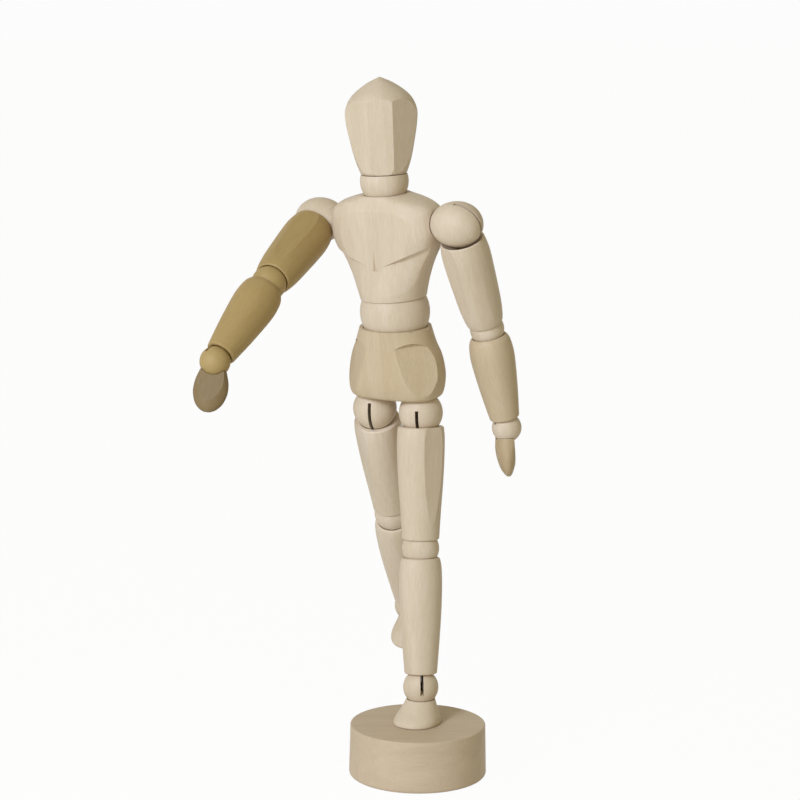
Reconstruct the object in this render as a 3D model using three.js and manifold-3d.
// A jointed wooden artist's mannequin on a disc base, in millimetres, +Z up, facing -Y.
// Turned and planed wooden pieces seat on slotted wooden balls. A spring in every limb has wire
// ends that hook round a steel cross pin in each ball, or end in a head that can turn in the ball.
// The origin is the centre of the base's underside.

import * as THREE from 'three';
import { mergeVertices } from 'three/addons/utils/BufferGeometryUtils.js';
import Module from 'manifold-3d';

const wasm = await Module();
wasm.setup();

// Base and its screw
const BASE_RADIUS = 31;
const BASE_HEIGHT = 23.5;
const BASE_EDGE = 1.6;
const SCREW_HEAD_RADIUS = 4;
const SCREW_SHANK_RADIUS = 1.6;
const SCREW_IN_FOOT = 4.5;
const SCREW_SINK = 0.6;

// Balls: radius of each
const ANKLE_BALL = 8.0;
const KNEE_BALL = 8.4;
const HIP_BALL = 9.9;
const WRIST_BALL = 6.7;
const ELBOW_BALL = 7.7;
const SHOULDER_BALL = 10.1;
const SHOULDER_INNER_END = 13;
const SHOULDER_OUTER_END = 11.7;
const WAIST_BALL = 15.7;
const NECK_BALL = 10.8;

// Centre to centre along each limb
const THIGH_SPAN = 61.5;
const SHIN_SPAN = 63;
const UPPER_ARM_SPAN = 53.5;
const FOREARM_SPAN = 47.2;

// Places of the joints in the trunk
const HIP_SPREAD = 11.8;
const HIP_DROP = 21.1;
const WAIST_RISE = 24.4;
const SHOULDER_RISE = 40.6;
const SHOULDER_SPREAD = 36.5;
const NECK_RISE = 59;
const ANKLE_HEIGHT = 15.8;

// Fits
const CUP_GAP = 0.45;
const WIRE_GAP = 0.3;
const PIN_GAP = 0.25;
const FACE_GAP = 0.3;

// Wire, pins and springs
const WIRE_RADIUS = 0.45;
const PIN_RADIUS = 0.7;
const HEAD_RADIUS = 1.2;
const HEAD_THICKNESS = 0.8;
const HEAD_PLACE = 2.6;
const SPRING_RADIUS = 2;
const SPRING_TURNS = 4;
const BORE_RADIUS = 3;

// Where each cup's rim lies, measured from the centre of the ball that it holds
const HIP_RIM = 6.2;
const KNEE_RIM = 4.2;
const ANKLE_RIM = 6.2;
const SHOULDER_RIM = 7.6;
const ELBOW_RIM = 3.4;
const WRIST_RIM = 4.7;
const WAIST_RIM = 6.9;
const HEAD_RIM = 3.4;
const RIM_EDGE = 0.4;

// Facets round a turned piece, and round a ball
const ROUND = 16;
const BALL_ROUND = 16;
const BALL_RINGS = 8;

// Stems below the ball's centre
const HAND_STEM = 14;
const FOOT_STEM = 12;

// The pose shown, in degrees
const FOOT_PLACE = new THREE.Vector2(1.2, 3);
const SCREW_BACK = FOOT_PLACE.y + 4.5;
const FOOT_YAW = -28;
const POSE = {
  leftAnkle: { turn: 32, swing: -7 },
  leftKnee: { swing: 2.2, turn: -15.7 },
  leftHip: { swing: 8, turn: -17 },
  rightHip: { turn: 14, swing: 24 },
  rightKnee: { turn: 4, swing: 5.6 },
  rightAnkle: { swing: -8, turn: -12 },
  waist: { turn: -3.9, bend: 1.8, rock: -2.4 },
  neck: { tilt: -3.5, turn: 31 },
  leftShoulder: { swing: 18.6, spread: -0.5 },
  leftElbow: { turn: 15, bend: -11.9 },
  leftWrist: { phase: -40, bend: -12, turn: 153 },
  rightShoulder: { swing: -69.5, spread: -5.2 },
  rightElbow: { turn: -144.5, bend: -16 },
  rightWrist: { phase: -50, bend: -28.6, turn: -141 },
};

const LIGHT_WOOD = { color: 0xd9c4a0, roughness: 0.62, metalness: 0 };
const STEEL = { color: 0x9a9a98, roughness: 0.35, metalness: 1 };

// Inside the trunk
const NECK_BOTTOM = -8;
const NECK_TOP = 6.5;
const NECK_TOP_RADIUS = 8;
const HEAD_STEM_TOP = 18;
const WAIST_FLAT = 12.5;
const WAIST_STEM_END = 3;
const CROSSING_RADIUS = 5;

// The breast's crease: its height over the waist's centre, its step and its rise to the side
const CREASE_RISE = 21.3;
const CREASE_DEPTH = 1;
const CREASE_SLOPE = 0.4;
const BREAST_DEPTH = 12.7;
const BELLY_SLOPE = 0.19;


// Bow of wire in the pelvis
const HIP_BOW_RISE = -3;

const rad = THREE.MathUtils.degToRad;

// Solids

function closedSolid(geometry) {
  const bare = new THREE.BufferGeometry();
  bare.setAttribute('position', geometry.getAttribute('position').clone());
  bare.setIndex(geometry.getIndex());
  const merged = mergeVertices(bare, 1e-4);
  const points = merged.getAttribute('position').array;
  const index = merged.getIndex().array;
  const faces = [];
  for (let i = 0; i < index.length; i += 3) {
    const [a, b, c] = [index[i], index[i + 1], index[i + 2]];
    if (a !== b && b !== c && c !== a) faces.push(a, b, c);
  }
  if (signedVolume(points, faces) < 0) faces.reverse();
  const mesh = new wasm.Mesh({
    numProp: 3,
    vertProperties: new Float32Array(points),
    triVerts: new Uint32Array(faces),
  });
  return new wasm.Manifold(mesh);
}

function signedVolume(points, faces) {
  const corner = (n) => new THREE.Vector3().fromArray(points, 3 * n);
  let volume = 0;
  for (let i = 0; i < faces.length; i += 3) {
    const [a, b, c] = [corner(faces[i]), corner(faces[i + 1]), corner(faces[i + 2])];
    volume += a.dot(b.cross(c)) / 6;
  }
  return volume;
}

function geometryOf(solid) {
  const mesh = solid.getMesh();
  const geometry = new THREE.BufferGeometry();
  geometry.setAttribute('position', new THREE.BufferAttribute(mesh.vertProperties, 3));
  geometry.setIndex(new THREE.BufferAttribute(mesh.triVerts, 1));
  geometry.computeVertexNormals();
  return geometry;
}

// A profile of radius (x) against height (y), turned about Z
function turned(profile, facets = ROUND) {
  const geometry = new THREE.LatheGeometry(profile, facets);
  geometry.rotateX(Math.PI / 2);
  return geometry;
}

function rod(radius, from, to, facets = 10) {
  return turned([
    new THREE.Vector2(0, from),
    new THREE.Vector2(radius, from),
    new THREE.Vector2(radius, to),
    new THREE.Vector2(0, to),
  ], facets);
}

// Points on a circle about (0, centre), from one angle above the horizontal to another
function arc(radius, centre, from, to, steps) {
  const points = [];
  for (let i = 0; i <= steps; i += 1) {
    const angle = THREE.MathUtils.lerp(from, to, i / steps);
    points.push(new THREE.Vector2(radius * Math.cos(angle), centre + radius * Math.sin(angle)));
  }
  return points;
}

function cupRadius(ball) {
  return ball + CUP_GAP;
}

// A hollow turned limb from the upper ball at z = 0 to the lower ball at z = -span
function turnedLimb({ span, upperBall, upperRim, upperWidth, lowerBall, lowerRim, lowerWidth, girth }) {
  const top = -upperRim;
  const bottom = lowerRim - span;
  const sides = new THREE.SplineCurve([
    new THREE.Vector2(lowerWidth, bottom + RIM_EDGE),
    ...girth.map(([depth, radius]) => new THREE.Vector2(radius, -depth)).reverse(),
    new THREE.Vector2(upperWidth, top - RIM_EDGE),
  ]);
  const upperCup = cupRadius(upperBall);
  const lowerCup = cupRadius(lowerBall);
  const upperEdge = -Math.asin(upperRim / upperCup);
  const lowerEdge = Math.asin(lowerRim / lowerCup);
  const profile = [
    ...arc(lowerCup, -span, Math.acos(BORE_RADIUS / lowerCup), lowerEdge, 3),
    new THREE.Vector2(lowerWidth - RIM_EDGE, bottom),
    ...sides.getPoints(5),
    new THREE.Vector2(upperWidth - RIM_EDGE, top),
    ...arc(upperCup, 0, upperEdge, -Math.acos(BORE_RADIUS / upperCup), 3),
  ];
  profile.push(profile[0].clone());
  return turned(profile);
}

// A solid through oval sections: each has z, half-width x, half-depth y, and a place y0
function lofted(sections, facets = 24) {
  const positions = [];
  const index = [];
  for (const { z, x, y, y0 = 0, power = 2 } of sections) {
    for (let i = 0; i < facets; i += 1) {
      const angle = (2 * Math.PI * i) / facets;
      const c = Math.cos(angle);
      const s = Math.sin(angle);
      positions.push(Math.sign(c) * x * Math.abs(c) ** (2 / power));
      positions.push(y0 + Math.sign(s) * y * Math.abs(s) ** (2 / power));
      positions.push(z);
    }
  }
  const last = sections.length - 1;
  for (let ring = 0; ring < last; ring += 1) {
    for (let i = 0; i < facets; i += 1) {
      const a = ring * facets + i;
      const b = ring * facets + ((i + 1) % facets);
      index.push(a, b, a + facets, b, b + facets, a + facets);
    }
  }
  for (const [ring, flip] of [[0, true], [last, false]]) {
    for (let i = 1; i < facets - 1; i += 1) {
      const corners = [ring * facets, ring * facets + i, ring * facets + i + 1];
      index.push(...(flip ? corners.reverse() : corners));
    }
  }
  const geometry = new THREE.BufferGeometry();
  geometry.setAttribute('position', new THREE.Float32BufferAttribute(positions, 3));
  geometry.setIndex(index);
  return geometry;
}

// Sphere for cutting a cup, its facets outside the true sphere
function cupCutter(ball, x = 0, y = 0, z = 0) {
  const geometry = new THREE.SphereGeometry(cupRadius(ball), 20, 10);
  geometry.rotateX(Math.PI / 2);
  geometry.translate(x, y, z);
  return closedSolid(geometry);
}

// Slab that leaves a planed face: it faces the given yaw, is that far out at the height given,
// and leans out upwards
function planing(yaw, distance, height, lean) {
  const slab = new THREE.BoxGeometry(80, 20, 160);
  slab.translate(0, -10, 0);
  slab.rotateX(Math.atan(lean));
  slab.translate(0, -distance, height);
  slab.rotateZ(rad(yaw));
  return closedSolid(slab);
}

// Wire swept through points, each with its own radius when it differs from the wire's
function wire(points, sides = 4) {
  const centres = points.map((p) => p.at);
  const tangents = centres.map((_, i) => {
    const before = centres[Math.max(i - 1, 0)];
    const after = centres[Math.min(i + 1, centres.length - 1)];
    return after.clone().sub(before).normalize();
  });
  const positions = [];
  const index = [];
  const across = new THREE.Vector3(1, 0.01, 0.02).cross(tangents[0]).normalize();
  centres.forEach((centre, i) => {
    across.addScaledVector(tangents[i], -across.dot(tangents[i])).normalize();
    const up = tangents[i].clone().cross(across);
    const radius = points[i].radius ?? WIRE_RADIUS;
    for (let k = 0; k < sides; k += 1) {
      const angle = (2 * Math.PI * k) / sides;
      const corner = centre.clone();
      corner.addScaledVector(across, radius * Math.cos(angle));
      corner.addScaledVector(up, radius * Math.sin(angle));
      positions.push(...corner.toArray());
    }
  });
  for (let i = 0; i < centres.length - 1; i += 1) {
    for (let k = 0; k < sides; k += 1) {
      const a = i * sides + k;
      const b = i * sides + ((k + 1) % sides);
      index.push(a, b, a + sides, b, b + sides, a + sides);
    }
  }
  const end = (centres.length - 1) * sides;
  for (let k = 1; k < sides - 1; k += 1) {
    index.push(0, k + 1, k);
    index.push(end, end + k, end + k + 1);
  }
  const geometry = new THREE.BufferGeometry();
  geometry.setAttribute('position', new THREE.Float32BufferAttribute(positions, 3));
  geometry.setIndex(index);
  return geometry;
}

const LOOP_RADIUS = PIN_RADIUS + PIN_GAP + WIRE_RADIUS;

// Wire end hooked round a pin along X at z = 0; the wire leaves it downwards
function hookEnd(side) {
  const points = [];
  const steps = 7;
  for (let i = 0; i <= steps; i += 1) {
    const angle = rad(THREE.MathUtils.lerp(320, 25, i / steps));
    const y = LOOP_RADIUS * Math.sin(angle);
    const z = -side * LOOP_RADIUS * Math.cos(angle);
    points.push({ at: new THREE.Vector3(0, y, z) });
  }
  points.push({ at: new THREE.Vector3(0, 0, -side * (LOOP_RADIUS + 2 * WIRE_RADIUS)) });
  return points;
}

// Wire end with an upset head that turns in a ball's chamber
function headEnd(side) {
  const near = HEAD_PLACE;
  const far = HEAD_PLACE + HEAD_THICKNESS;
  return [
    { at: new THREE.Vector3(0, 0, -side * near), radius: HEAD_RADIUS },
    { at: new THREE.Vector3(0, 0, -side * far), radius: HEAD_RADIUS },
    { at: new THREE.Vector3(0, 0, -side * (far + 0.1)) },
  ];
}

// Tension spring along Z, its ends at z = 0 and z = -span. The coil lies between two depths, and
// the wire above it can go round something by way of the points in detour
function spring({ span, upperEnd, lowerEnd, phase = 0, coilFrom, coilTo, detour = [] }) {
  const points = [...upperEnd(1)];
  const steps = 6;
  points.push(...detour.map((at) => ({ at })));
  const length = coilTo - coilFrom;
  points.push({ at: new THREE.Vector3(0, 0, -coilFrom + SPRING_RADIUS) });
  for (let i = 0; i <= SPRING_TURNS * steps; i += 1) {
    const angle = (2 * Math.PI * i) / steps;
    const z = -coilFrom - (length * i) / (SPRING_TURNS * steps);
    points.push({ at: new THREE.Vector3(SPRING_RADIUS * Math.cos(angle), SPRING_RADIUS * Math.sin(angle), z) });
  }
  points.push({ at: new THREE.Vector3(0, 0, -coilTo - SPRING_RADIUS) });
  const turnAbout = new THREE.Vector3(0, 0, 1);
  for (const { at, radius } of [...lowerEnd(-1)].reverse()) {
    const place = at.clone().applyAxisAngle(turnAbout, rad(phase));
    place.z -= span;
    points.push({ at: place, radius });
  }
  return wire(points);
}

// Ball in its own frame: pin along X, slot in the YZ plane.
// Angles turn from -Z towards the front (-Y); the headed wire enters at stemAngle.
function direction(angle) {
  return new THREE.Vector3(0, -Math.sin(rad(angle)), -Math.cos(rad(angle)));
}

const SLOT_WIDTH = 2 * (WIRE_RADIUS + WIRE_GAP);
const WAIST_SLOT_WIDTH = SLOT_WIDTH + 1.6;
const SLOT_CORE = LOOP_RADIUS + WIRE_RADIUS + 1.5 * WIRE_GAP;

function slotCutter(reach, slotFrom, slotTo, width = SLOT_WIDTH) {
  const half = WIRE_RADIUS + WIRE_GAP;
  const coreMargin = THREE.MathUtils.radToDeg(Math.asin(half / SLOT_CORE));
  const reachMargin = THREE.MathUtils.radToDeg(Math.asin(half / reach));
  const outline = [];
  const arcInto = (radius, from, to, steps) => {
    for (let i = 0; i <= steps; i += 1) {
      const angle = rad(THREE.MathUtils.lerp(from, to, i / steps));
      outline.push(new THREE.Vector2(-radius * Math.sin(angle), -radius * Math.cos(angle)));
    }
  };
  arcInto(reach, slotFrom - reachMargin, slotTo + reachMargin, 8);
  arcInto(SLOT_CORE, slotTo + coreMargin, slotFrom - coreMargin + 360, 6);
  const geometry = new THREE.ExtrudeGeometry(new THREE.Shape(outline), {
    depth: width,
    bevelEnabled: false,
  });
  geometry.translate(0, 0, -width / 2);
  // Shape axes (x, y) become (y, z); the depth runs along X
  geometry.applyMatrix4(new THREE.Matrix4().set(0, 0, 1, 0, 1, 0, 0, 0, 0, 1, 0, 0, 0, 0, 0, 1));
  return closedSolid(geometry);
}

function pinRoom(halfLength) {
  const geometry = rod(PIN_RADIUS + PIN_GAP, -halfLength - PIN_GAP, halfLength + PIN_GAP, 8);
  geometry.rotateY(Math.PI / 2);
  return closedSolid(geometry);
}

function stemRoom(reach, stemAngle) {
  const chamberEnd = HEAD_PLACE + HEAD_THICKNESS + WIRE_GAP;
  const profile = [
    new THREE.Vector2(0, 1),
    new THREE.Vector2(HEAD_RADIUS + WIRE_GAP, 1),
    new THREE.Vector2(HEAD_RADIUS + WIRE_GAP, chamberEnd),
    new THREE.Vector2(WIRE_RADIUS + WIRE_GAP, chamberEnd),
    new THREE.Vector2(WIRE_RADIUS + WIRE_GAP, reach),
    new THREE.Vector2(0, reach),
  ];
  const geometry = turned(profile, 8);
  const aim = new THREE.Quaternion().setFromUnitVectors(new THREE.Vector3(0, 0, 1), direction(stemAngle));
  geometry.applyQuaternion(aim);
  return closedSolid(geometry);
}

function pinHalfLength(radius) {
  return 0.72 * radius;
}

function slotBall(body, radius, reach, slotFrom, slotTo, stemAngle, width) {
  return closedSolid(body)
    .subtract(slotCutter(reach, slotFrom, slotTo, width))
    .subtract(pinRoom(pinHalfLength(radius)))
    .subtract(stemRoom(reach, stemAngle));
}

function roundBall(radius, slotFrom, slotTo, stemAngle) {
  const body = new THREE.SphereGeometry(radius, BALL_ROUND, BALL_RINGS);
  body.rotateX(Math.PI / 2);
  return slotBall(body, radius, radius + 2, slotFrom, slotTo, stemAngle);
}

// The small wrist ball and its pin are one piece
function wristBall() {
  const pin = rod(PIN_RADIUS, -WRIST_BALL / 2, WRIST_BALL / 2, 8);
  pin.rotateY(Math.PI / 2);
  const body = new THREE.SphereGeometry(WRIST_BALL, BALL_ROUND, BALL_RINGS);
  body.rotateX(Math.PI / 2);
  return geometryOf(closedSolid(body)
    .subtract(slotCutter(WRIST_BALL + 2, ...WRIST_SLOT))
    .subtract(stemRoom(WRIST_BALL + 2, 0))
    .add(closedSolid(pin)));
}

// Egg-shaped shoulder ball: longer towards the chest (+Y here) than outwards
function shoulderBall() {
  const body = new THREE.SphereGeometry(1, BALL_ROUND, BALL_RINGS);
  body.scale(SHOULDER_BALL, 1, SHOULDER_BALL);
  const place = body.getAttribute('position');
  for (let i = 0; i < place.count; i += 1) {
    const y = place.getY(i);
    place.setY(i, y * (y > 0 ? SHOULDER_INNER_END : SHOULDER_OUTER_END));
  }
  const reach = SHOULDER_INNER_END + 2;
  return geometryOf(slotBall(body, SHOULDER_BALL, reach, -14, 172, -90));
}

function crossPin(radius) {
  const half = pinHalfLength(radius);
  const geometry = rod(PIN_RADIUS, -half, half, 8);
  geometry.rotateY(Math.PI / 2);
  return geometryOf(closedSolid(geometry));
}

// Trunk and head

function headSolid() {
  const dome = new THREE.SplineCurve([
    new THREE.Vector2(10.4, HEAD_RIM + 0.5),
    new THREE.Vector2(12.4, HEAD_RIM + 6.2),
    new THREE.Vector2(14.3, HEAD_RIM + 14.5),
    new THREE.Vector2(15.8, HEAD_RIM + 23),
    new THREE.Vector2(15.7, HEAD_RIM + 28.8),
    new THREE.Vector2(12.8, HEAD_RIM + 34.4),
    new THREE.Vector2(6.4, HEAD_RIM + 39.5),
    new THREE.Vector2(0, HEAD_RIM + 42.6),
  ]);
  const points = dome.getPoints(14);
  points[points.length - 1].x = 0;
  const geometry = turned([
    new THREE.Vector2(0, HEAD_RIM),
    new THREE.Vector2(10, HEAD_RIM),
    ...points,
  ], 28);
  const head = closedSolid(geometry)
    .subtract(planing(0, 9.7, HEAD_RIM, 0.06))
    .subtract(planing(-42, 10.6, HEAD_RIM, 0.045))
    .subtract(planing(42, 10.6, HEAD_RIM, 0.045));
  const socket = closedSolid(turned([
    new THREE.Vector2(0, 0),
    new THREE.Vector2(NECK_TOP_RADIUS + CUP_GAP, 0),
    new THREE.Vector2(NECK_TOP_RADIUS + CUP_GAP, NECK_TOP + CUP_GAP),
    new THREE.Vector2(0, NECK_TOP + CUP_GAP),
  ], 24));
  const bore = closedSolid(rod(WIRE_RADIUS + WIRE_GAP, NECK_TOP, HEAD_STEM_TOP + WIRE_GAP, 8));
  return geometryOf(head.subtract(socket).subtract(bore));
}

function neckSolid() {
  const lower = Math.asin(NECK_BOTTOM / NECK_BALL);
  const shoulderRise = HEAD_RIM - CUP_GAP;
  const upper = Math.asin(shoulderRise / NECK_BALL);
  const body = turned([
    new THREE.Vector2(0, NECK_BOTTOM),
    ...arc(NECK_BALL, 0, lower, upper, 6),
    new THREE.Vector2(NECK_TOP_RADIUS, shoulderRise),
    new THREE.Vector2(NECK_TOP_RADIUS, NECK_TOP - 0.6),
    new THREE.Vector2(NECK_TOP_RADIUS - 0.6, NECK_TOP),
    new THREE.Vector2(0, NECK_TOP),
  ], 24);
  return geometryOf(slotBall(body, NECK_BALL, NECK_BALL + 2, ...NECK_SLOT));
}

// Truncated ball, with a slot wide enough for the chest to rock a little sideways
function waistSolid() {
  const edge = Math.asin(WAIST_FLAT / WAIST_BALL);
  const body = turned([
    new THREE.Vector2(0, -WAIST_FLAT),
    ...arc(WAIST_BALL, 0, -edge, edge, 7),
    new THREE.Vector2(0, WAIST_FLAT),
  ], 24);
  return geometryOf(slotBall(body, WAIST_BALL, WAIST_BALL + 2, ...WAIST_SLOT, WAIST_SLOT_WIDTH));
}

function chestSolid() {
  const bottom = WAIST_RIM;
  const block = lofted([
    { z: bottom, x: 14.9, y: 14.9 },
    { z: bottom + 3, x: 15.8, y: 15 },
    { z: bottom + 9, x: 17.8, y: 14.8, power: 2.1 },
    { z: bottom + 16, x: 20.6, y: 14.3, power: 2.4 },
    { z: bottom + 24, x: 24.8, y: 13.9, power: 2.8 },
    { z: bottom + 30, x: 26.2, y: 13.6, power: 3.1 },
    { z: bottom + 37.3, x: 26.1, y: 13, power: 3.1 },
    { z: bottom + 41.1, x: 25, y: 11.6, power: 2.8 },
    { z: bottom + 44.2, x: 20, y: 10.8, power: 2.4 },
    { z: bottom + 46.6, x: 11.5, y: 10.3, power: 2 },
  ], 28);
  let chest = closedSolid(block).subtract(planing(0, BREAST_DEPTH, CREASE_RISE, -0.03));
  for (const side of [-1, 1]) {
    chest = chest.subtract(bellyCut(side));
  }
  chest = chest.subtract(cupCutter(WAIST_BALL));
  chest = chest.subtract(cupCutter(NECK_BALL, 0, 0, NECK_RISE));
  for (const side of [-1, 1]) {
    chest = chest.subtract(shoulderSocket(side));
  }
  const upright = closedSolid(rod(BORE_RADIUS, WAIST_BALL, NECK_RISE - NECK_BALL, 12));
  const across = rod(BORE_RADIUS, -SHOULDER_SPREAD, SHOULDER_SPREAD, 12);
  across.rotateY(Math.PI / 2);
  across.translate(0, 0, SHOULDER_RISE);
  const crossing = closedSolid(rod(CROSSING_RADIUS, SHOULDER_RISE - 9, NECK_RISE - NECK_BALL + 2, 12));
  return geometryOf(chest.subtract(upright).subtract(closedSolid(across)).subtract(crossing));
}

// Wedge that planes the belly below one half of the breast's crease, which rises to the side
function bellyCut(side) {
  const slab = new THREE.BoxGeometry(50, 10, 40);
  slab.translate(0, -5, -20);
  slab.rotateX(-Math.atan(BELLY_SLOPE));
  slab.rotateY(-side * Math.atan(CREASE_SLOPE));
  slab.rotateZ(side * rad(18));
  slab.translate(0, CREASE_DEPTH - BREAST_DEPTH, CREASE_RISE);
  return closedSolid(slab).subtract(halfSpace(-side));
}

// Everything on one side of x = 0, near the chest
function halfSpace(side) {
  const block = new THREE.BoxGeometry(100, 100, 140);
  block.translate(side * 50, 0, 0);
  return closedSolid(block);
}

// Room for a shoulder ball in the side of the chest, turned about the cross axis
function shoulderSocket(side) {
  const body = new THREE.SphereGeometry(1, 18, 10);
  body.rotateZ(Math.PI / 2);
  body.scale(SHOULDER_INNER_END + CUP_GAP, SHOULDER_BALL + CUP_GAP, SHOULDER_BALL + CUP_GAP);
  body.translate(side * SHOULDER_SPREAD, 0, SHOULDER_RISE);
  return closedSolid(body);
}

function pelvisSolid() {
  const top = WAIST_RISE - WAIST_RIM + 0.3;
  const block = lofted([
    { z: -14, x: 19.5, y: 11.5, power: 2.8 },
    { z: -12.5, x: 21, y: 13, power: 2.8 },
    { z: -8, x: 22.3, y: 14.4, power: 2.6 },
    { z: -2, x: 22.6, y: 15, power: 2.5 },
    { z: 5, x: 21.3, y: 15.3, power: 2.3 },
    { z: 11, x: 18.6, y: 15.6, power: 2.1 },
    { z: top, x: 16.2, y: 16 },
  ], 28);
  let pelvis = closedSolid(block);
  for (const yaw of [-30, 30]) {
    pelvis = pelvis.subtract(planing(yaw, 16.2, 0, -0.05));
  }
  pelvis = pelvis.subtract(cupCutter(WAIST_BALL, 0, 0, WAIST_RISE));
  for (const side of [-1, 1]) {
    pelvis = pelvis.subtract(cupCutter(HIP_BALL, side * HIP_SPREAD, 0, -HIP_DROP));
    const bore = rod(BORE_RADIUS, -HIP_DROP + HIP_BALL, HIP_BOW_RISE + BORE_RADIUS, 12);
    bore.translate(side * HIP_SPREAD, 0, 0);
    pelvis = pelvis.subtract(closedSolid(bore));
  }
  const across = rod(BORE_RADIUS, -HIP_SPREAD, HIP_SPREAD, 12);
  across.rotateY(Math.PI / 2);
  across.translate(0, 0, HIP_BOW_RISE);
  const upright = closedSolid(rod(WIRE_RADIUS + WIRE_GAP, WAIST_STEM_END - WIRE_GAP, WAIST_RISE, 8));
  return geometryOf(pelvis.subtract(closedSolid(across)).subtract(upright));
}

// Wire across the chest, with a coil in the middle and a head in each shoulder ball
function crossSpring() {
  const geometry = spring({
    span: 2 * SHOULDER_SPREAD,
    upperEnd: headEnd,
    lowerEnd: headEnd,
    coilFrom: SHOULDER_SPREAD - 11,
    coilTo: SHOULDER_SPREAD + 11,
  });
  geometry.translate(0, 0, SHOULDER_SPREAD);
  geometry.rotateY(Math.PI / 2);
  geometry.translate(0, 0, SHOULDER_RISE);
  return geometryOf(closedSolid(geometry));
}

// Wire from the neck's pin down to the waist's pin, bent round the cross spring
function chestSpring() {
  const aside = SPRING_RADIUS + 3 * WIRE_RADIUS + WIRE_GAP;
  const crossing = NECK_RISE - SHOULDER_RISE;
  const geometry = spring({
    span: NECK_RISE,
    upperEnd: hookEnd,
    lowerEnd: hookEnd,
    coilFrom: crossing + 8,
    coilTo: NECK_RISE - WAIST_BALL,
    detour: [new THREE.Vector3(0, aside, -crossing + 4), new THREE.Vector3(0, aside, -crossing - 4)],
  });
  geometry.translate(0, 0, NECK_RISE);
  return geometryOf(closedSolid(geometry));
}

// Bow of wire in the pelvis, with a head in each hip ball and a coil across the middle
function hipBow() {
  const points = [];
  const end = (side) => headEnd(-1).map(({ at, radius }) => (
    { at: new THREE.Vector3(side * HIP_SPREAD, 0, at.z - HIP_DROP), radius }
  ));
  points.push(...end(-1));
  points.push({ at: new THREE.Vector3(-HIP_SPREAD, 0, HIP_BOW_RISE - 1.5) });
  points.push({ at: new THREE.Vector3(-HIP_SPREAD + 1.5, 0, HIP_BOW_RISE) });
  const steps = 6;
  const reach = HIP_SPREAD - 4.5;
  for (let i = 0; i <= SPRING_TURNS * steps; i += 1) {
    const angle = (2 * Math.PI * i) / steps;
    const x = -reach + (2 * reach * i) / (SPRING_TURNS * steps);
    const y = SPRING_RADIUS * Math.cos(angle);
    const z = HIP_BOW_RISE + SPRING_RADIUS * Math.sin(angle);
    points.push({ at: new THREE.Vector3(x, y, z) });
  }
  points.push({ at: new THREE.Vector3(HIP_SPREAD - 1.5, 0, HIP_BOW_RISE) });
  points.push({ at: new THREE.Vector3(HIP_SPREAD, 0, HIP_BOW_RISE - 1.5) });
  points.push(...end(1).reverse());
  return geometryOf(closedSolid(wire(points)));
}

// Headed stem: its head lies at HEAD_PLACE above z = 0 and its shank ends at the given height
function headedStem(end) {
  const far = HEAD_PLACE + HEAD_THICKNESS;
  return turned([
    new THREE.Vector2(0, HEAD_PLACE),
    new THREE.Vector2(HEAD_RADIUS, HEAD_PLACE),
    new THREE.Vector2(HEAD_RADIUS, far),
    new THREE.Vector2(WIRE_RADIUS, far),
    new THREE.Vector2(WIRE_RADIUS, end),
    new THREE.Vector2(0, end),
  ], 8);
}

function stemDown(end) {
  const geometry = headedStem(end);
  geometry.rotateX(Math.PI);
  return geometryOf(closedSolid(geometry));
}

function stemHole(end, rise = 0) {
  const geometry = rod(WIRE_RADIUS + WIRE_GAP, 0, end + WIRE_GAP, 8);
  geometry.rotateX(Math.PI);
  geometry.translate(0, 0, rise);
  return closedSolid(geometry);
}

// Hands and feet

// Hand below the wrist ball, its palm planed flat and facing -Y
function handSolid() {
  const paddle = lofted([
    { z: -22.4, x: 1.6, y: 0.9, y0: -0.6 },
    { z: -21.2, x: 3.8, y: 1.9, y0: -0.4 },
    { z: -18.4, x: 6.1, y: 3.2 },
    { z: -14, x: 7.5, y: 4.4, y0: 0.2 },
    { z: -9.5, x: 7.4, y: 5.1, y0: 0.2 },
    { z: -5.5, x: 6.3, y: 5.2 },
    { z: -3.2, x: 5.4, y: 5 },
  ], 20);
  const palm = new THREE.BoxGeometry(30, 10, 40);
  palm.rotateX(rad(-3));
  palm.translate(0, -5 - 3.4, -16);
  return geometryOf(closedSolid(paddle)
    .subtract(closedSolid(palm))
    .subtract(cupCutter(WRIST_BALL))
    .subtract(stemHole(HAND_STEM)));
}

// Foot on z = 0 with its toe towards -Y, under an ankle ball at the given height
function footSolid() {
  const shoe = lofted([
    { z: 0, x: 9.1, y: 11.4, y0: -3.2, power: 2.3 },
    { z: 1.2, x: 9.3, y: 11.4, y0: -3.1, power: 2.3 },
    { z: 3.4, x: 8.8, y: 10.4, y0: -2.4, power: 2.2 },
    { z: 6.2, x: 7.7, y: 8.6, y0: -1.2, power: 2.1 },
    { z: ANKLE_HEIGHT - 5.4, x: 6.4, y: 6.7, y0: 0.1 },
  ], 24);
  return closedSolid(shoe)
    .subtract(cupCutter(ANKLE_BALL, 0, 0, ANKLE_HEIGHT))
    .subtract(stemHole(FOOT_STEM, ANKLE_HEIGHT));
}

function baseDisc() {
  const disc = turned([
    new THREE.Vector2(0, 0),
    new THREE.Vector2(BASE_RADIUS - BASE_EDGE, 0),
    new THREE.Vector2(BASE_RADIUS, BASE_EDGE),
    new THREE.Vector2(BASE_RADIUS - BASE_EDGE / 2, BASE_HEIGHT - BASE_EDGE / 3),
    new THREE.Vector2(BASE_RADIUS - BASE_EDGE, BASE_HEIGHT),
    new THREE.Vector2(0, BASE_HEIGHT),
  ], 48);
  const screw = baseScrew(WIRE_GAP);
  screw.translate(FOOT_PLACE.x, SCREW_BACK, 0);
  return geometryOf(closedSolid(disc).subtract(closedSolid(screw)));
}

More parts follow.
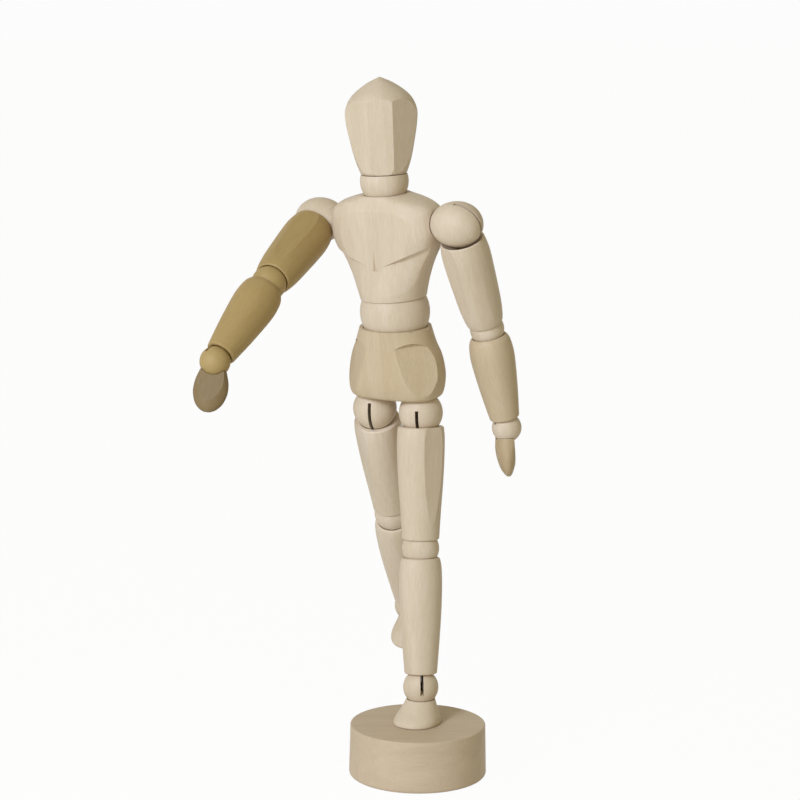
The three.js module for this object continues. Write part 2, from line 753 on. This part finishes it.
// Countersunk screw from under the base, thicker all round by the room asked for
function baseScrew(room = 0) {
  const shank = SCREW_SHANK_RADIUS + room;
  const head = SCREW_HEAD_RADIUS + room;
  const start = room > 0 ? -1 : SCREW_SINK;
  return turned([
    new THREE.Vector2(0, start),
    new THREE.Vector2(head, start),
    new THREE.Vector2(head, SCREW_SINK + 0.5),
    new THREE.Vector2(shank, SCREW_SINK + 0.5 + SCREW_HEAD_RADIUS - SCREW_SHANK_RADIUS),
    new THREE.Vector2(shank, BASE_HEIGHT + SCREW_IN_FOOT + room),
    new THREE.Vector2(0, BASE_HEIGHT + SCREW_IN_FOOT + room),
  ], 16);
}

// Limbs

const LIMBS = {
  thigh: {
    span: THIGH_SPAN,
    upperBall: HIP_BALL,
    upperRim: HIP_RIM,
    upperWidth: 10.4,
    lowerBall: KNEE_BALL,
    lowerRim: KNEE_RIM,
    lowerWidth: 8.4,
    girth: [[12, 10.8], [22, 10.6], [32, 10.1], [44, 9.2]],
    flats: [{ yaw: 48, distance: 9.2, lean: 0.02 }],
  },
  shin: {
    span: SHIN_SPAN,
    upperBall: KNEE_BALL,
    upperRim: KNEE_RIM,
    upperWidth: 8.7,
    lowerBall: ANKLE_BALL,
    lowerRim: ANKLE_RIM,
    lowerWidth: 7.4,
    girth: [[8, 9.4], [16, 9.7], [28, 9.4], [42, 8.5]],
  },
  upper_arm: {
    span: UPPER_ARM_SPAN,
    upperBall: SHOULDER_OUTER_END,
    upperRim: SHOULDER_RIM,
    upperWidth: 9.9,
    lowerBall: ELBOW_BALL,
    lowerRim: ELBOW_RIM,
    lowerWidth: 8.1,
    girth: [[12, 10.5], [17, 10.75], [28, 10.3], [40, 9.6], [46.5, 8.8]],
    flats: [{ yaw: -20, distance: 9.3, lean: 0.02 }],
  },
  forearm: {
    span: FOREARM_SPAN,
    upperBall: ELBOW_BALL,
    upperRim: ELBOW_RIM,
    upperWidth: 8.3,
    lowerBall: WRIST_BALL,
    lowerRim: WRIST_RIM,
    lowerWidth: 6.7,
    girth: [[6.5, 9.4], [12.5, 9.95], [20.5, 9.4], [31, 8.25]],
  },
};

const COIL_CLEAR = 4;

function limbSpring(limb, lowerEnd, phase = 0) {
  return spring({
    span: limb.span,
    upperEnd: hookEnd,
    lowerEnd,
    phase,
    coilFrom: limb.upperBall + COIL_CLEAR,
    coilTo: limb.span - limb.lowerBall - COIL_CLEAR,
  });
}

function mesh(name, geometry, look = LIGHT_WOOD) {
  const piece = new THREE.Mesh(geometry, new THREE.MeshStandardMaterial(look));
  piece.name = name;
  return piece;
}

function limbPieces(side, name, lowerEnd, phase = 0, hookTurn = 0) {
  const { span, flats = [] } = LIMBS[name];
  const outward = side === 'left' ? 1 : -1;
  let solid = closedSolid(turnedLimb(LIMBS[name]));
  for (const { yaw, distance, lean } of flats) {
    solid = solid.subtract(planing(outward * yaw, distance, -span / 2, lean));
  }
  const wood = mesh(`${side}_${name}`, geometryOf(solid));
  const coil = limbSpring(LIMBS[name], lowerEnd, phase);
  coil.rotateZ(rad(hookTurn));
  return [wood, mesh(`${side}_${name}_spring`, geometryOf(closedSolid(coil)), STEEL)];
}

// A ball, with its pin where that is a piece of its own
function ballPieces(side, name, radius, slotFrom, slotTo, stemAngle) {
  const whole = roundBall(radius, slotFrom, slotTo, stemAngle);
  const ball = mesh(`${side}_${name}_ball`, geometryOf(whole));
  const pin = mesh(`${side}_${name}_pin`, crossPin(radius), STEEL);
  return [ball, pin];
}

const KNEE_SLOT = [-100, 12, 180];
const HIP_SLOT = [-46, 138, 180];
const ANKLE_SLOT = [81, 214, 0];
const ELBOW_SLOT = [-12, 100, 180];
const WRIST_SLOT = [115, 235];
const NECK_SLOT = [-42, 24, 180];
const WAIST_SLOT = [156, 204, 0];

// A moving body: a group at a place on its parent, turned about Z and then about X
function body(parent, name, place, { turn = 0, swing = 0 } = {}) {
  const group = new THREE.Group();
  group.name = name;
  group.position.copy(place);
  group.rotateZ(rad(turn));
  group.rotateX(rad(swing));
  parent.add(group);
  return group;
}

const at = (x, y, z) => new THREE.Vector3(x, y, z);

function lift(pieces, rise) {
  pieces.forEach((piece) => { piece.position.z += rise; });
  return pieces;
}

// The leg that stands on the base, built upwards from the foot
function standingLeg(root) {
  const foot = new THREE.Group();
  foot.position.set(FOOT_PLACE.x, FOOT_PLACE.y, BASE_HEIGHT + FACE_GAP);
  foot.rotateZ(rad(FOOT_YAW));
  root.add(foot);
  const screw = baseScrew(WIRE_GAP);
  screw.translate(0, SCREW_BACK - FOOT_PLACE.y, -BASE_HEIGHT - FACE_GAP);
  screw.rotateZ(rad(-FOOT_YAW));
  foot.add(mesh('left_foot', geometryOf(footSolid().subtract(closedSolid(screw)))));
  foot.add(...lift([mesh('left_foot_stem', stemDown(FOOT_STEM), STEEL)], ANKLE_HEIGHT));
  const pose = POSE;
  const ankle = body(foot, 'left_ankle', at(0, 0, ANKLE_HEIGHT), { turn: pose.leftAnkle.turn });
  ankle.add(...ballPieces('left', 'ankle', ANKLE_BALL, ...ANKLE_SLOT));
  const shin = body(ankle, 'left_shin', at(0, 0, 0), { swing: pose.leftAnkle.swing });
  shin.add(...lift(limbPieces('left', 'shin', hookEnd), SHIN_SPAN));
  const knee = body(shin, 'left_knee', at(0, 0, SHIN_SPAN), { swing: pose.leftKnee.swing });
  knee.add(...ballPieces('left', 'knee', KNEE_BALL, ...KNEE_SLOT));
  const thigh = body(knee, 'left_thigh', at(0, 0, 0), { turn: pose.leftKnee.turn });
  thigh.add(...lift(limbPieces('left', 'thigh', headEnd), THIGH_SPAN));
  const hip = body(thigh, 'left_hip', at(0, 0, THIGH_SPAN), { swing: pose.leftHip.swing });
  hip.add(...ballPieces('left', 'hip', HIP_BALL, ...HIP_SLOT));
  return body(hip, 'pelvis_turn', at(0, 0, 0), { turn: pose.leftHip.turn });
}

function freeLeg(pelvis) {
  const hip = body(pelvis, 'right_hip', at(-HIP_SPREAD, 0, -HIP_DROP), { turn: POSE.rightHip.turn });
  hip.add(...ballPieces('right', 'hip', HIP_BALL, ...HIP_SLOT));
  const thigh = body(hip, 'right_thigh', at(0, 0, 0), { swing: POSE.rightHip.swing });
  thigh.add(...limbPieces('right', 'thigh', headEnd));
  const knee = body(thigh, 'right_knee', at(0, 0, -THIGH_SPAN), { turn: POSE.rightKnee.turn });
  knee.add(...ballPieces('right', 'knee', KNEE_BALL, ...KNEE_SLOT));
  const shin = body(knee, 'right_shin', at(0, 0, 0), { swing: POSE.rightKnee.swing });
  shin.add(...limbPieces('right', 'shin', hookEnd));
  const ankle = body(shin, 'right_ankle', at(0, 0, -SHIN_SPAN), { swing: POSE.rightAnkle.swing });
  ankle.add(...ballPieces('right', 'ankle', ANKLE_BALL, ...ANKLE_SLOT));
  const foot = body(ankle, 'right_foot', at(0, 0, 0), { turn: POSE.rightAnkle.turn });
  foot.add(...lift([mesh('right_foot', geometryOf(footSolid()))], -ANKLE_HEIGHT));
  foot.add(mesh('right_foot_stem', stemDown(FOOT_STEM), STEEL));
}

function arm(chest, side, sign, shoulder, elbow, wrist) {
  const ball = body(chest, `${side}_shoulder`, at(sign * SHOULDER_SPREAD, 0, SHOULDER_RISE), {
    swing: shoulder.swing,
  });
  const egg = mesh(`${side}_shoulder_ball`, shoulderBall());
  const pin = mesh(`${side}_shoulder_pin`, crossPin(SHOULDER_BALL), STEEL);
  [egg, pin].forEach((piece) => piece.rotateZ(sign * Math.PI / 2));
  ball.add(egg, pin);
  const upper = body(ball, `${side}_upper_arm`, at(0, 0, 0));
  upper.rotateY(rad(shoulder.spread));
  upper.add(...limbPieces(side, 'upper_arm', headEnd, 0, 90));
  const elbowBall = body(upper, `${side}_elbow`, at(0, 0, -UPPER_ARM_SPAN), { turn: elbow.turn });
  elbowBall.add(...ballPieces(side, 'elbow', ELBOW_BALL, ...ELBOW_SLOT));
  const fore = body(elbowBall, `${side}_forearm`, at(0, 0, 0), { swing: elbow.bend });
  fore.add(...limbPieces(side, 'forearm', hookEnd, wrist.phase));
  const wristGroup = body(fore, `${side}_wrist`, at(0, 0, -FOREARM_SPAN), {
    turn: wrist.phase,
    swing: wrist.bend,
  });
  wristGroup.add(mesh(`${side}_wrist_ball`, wristBall()));
  const hand = body(wristGroup, `${side}_hand`, at(0, 0, 0), { turn: wrist.turn });
  hand.add(mesh(`${side}_hand`, handSolid()));
  hand.add(mesh(`${side}_hand_stem`, stemDown(HAND_STEM), STEEL));
}

function trunk(root) {
  const pelvis = new THREE.Group();
  pelvis.position.set(-HIP_SPREAD, 0, HIP_DROP);
  root.add(pelvis);
  pelvis.add(mesh('pelvis', pelvisSolid()), mesh('hip_bow', hipBow(), STEEL));
  const stem = mesh('waist_stem', stemDown(WAIST_RISE - WAIST_STEM_END), STEEL);
  pelvis.add(...lift([stem], WAIST_RISE));
  freeLeg(pelvis);
  const waist = body(pelvis, 'waist', at(0, 0, WAIST_RISE), { turn: POSE.waist.turn });
  waist.add(mesh('waist', waistSolid()), mesh('waist_pin', crossPin(HIP_BALL), STEEL));
  const chest = body(waist, 'chest', at(0, 0, 0), { swing: POSE.waist.bend });
  chest.rotateY(rad(POSE.waist.rock));
  chest.add(mesh('chest', chestSolid()));
  chest.add(mesh('chest_spring', chestSpring(), STEEL), mesh('shoulder_spring', crossSpring(), STEEL));
  arm(chest, 'left', 1, POSE.leftShoulder, POSE.leftElbow, POSE.leftWrist);
  arm(chest, 'right', -1, POSE.rightShoulder, POSE.rightElbow, POSE.rightWrist);
  const neck = body(chest, 'neck', at(0, 0, NECK_RISE), { swing: POSE.neck.tilt });
  neck.add(mesh('neck', neckSolid()), mesh('neck_pin', crossPin(NECK_BALL), STEEL));
  const head = body(neck, 'head', at(0, 0, 0), { turn: POSE.neck.turn });
  head.add(mesh('head', headSolid()));
  const headStem = headedStem(HEAD_STEM_TOP);
  head.add(mesh('head_stem', geometryOf(closedSolid(headStem)), STEEL));
}

function mannequin() {
  const group = new THREE.Group();
  const base = new THREE.Group();
  base.name = 'base';
  group.add(base);
  base.add(mesh('base', baseDisc()));
  const screw = mesh('base_screw', geometryOf(closedSolid(baseScrew())), STEEL);
  screw.position.set(FOOT_PLACE.x, SCREW_BACK, 0);
  base.add(screw);
  trunk(standingLeg(base));
  return group;
}

export default mannequin();
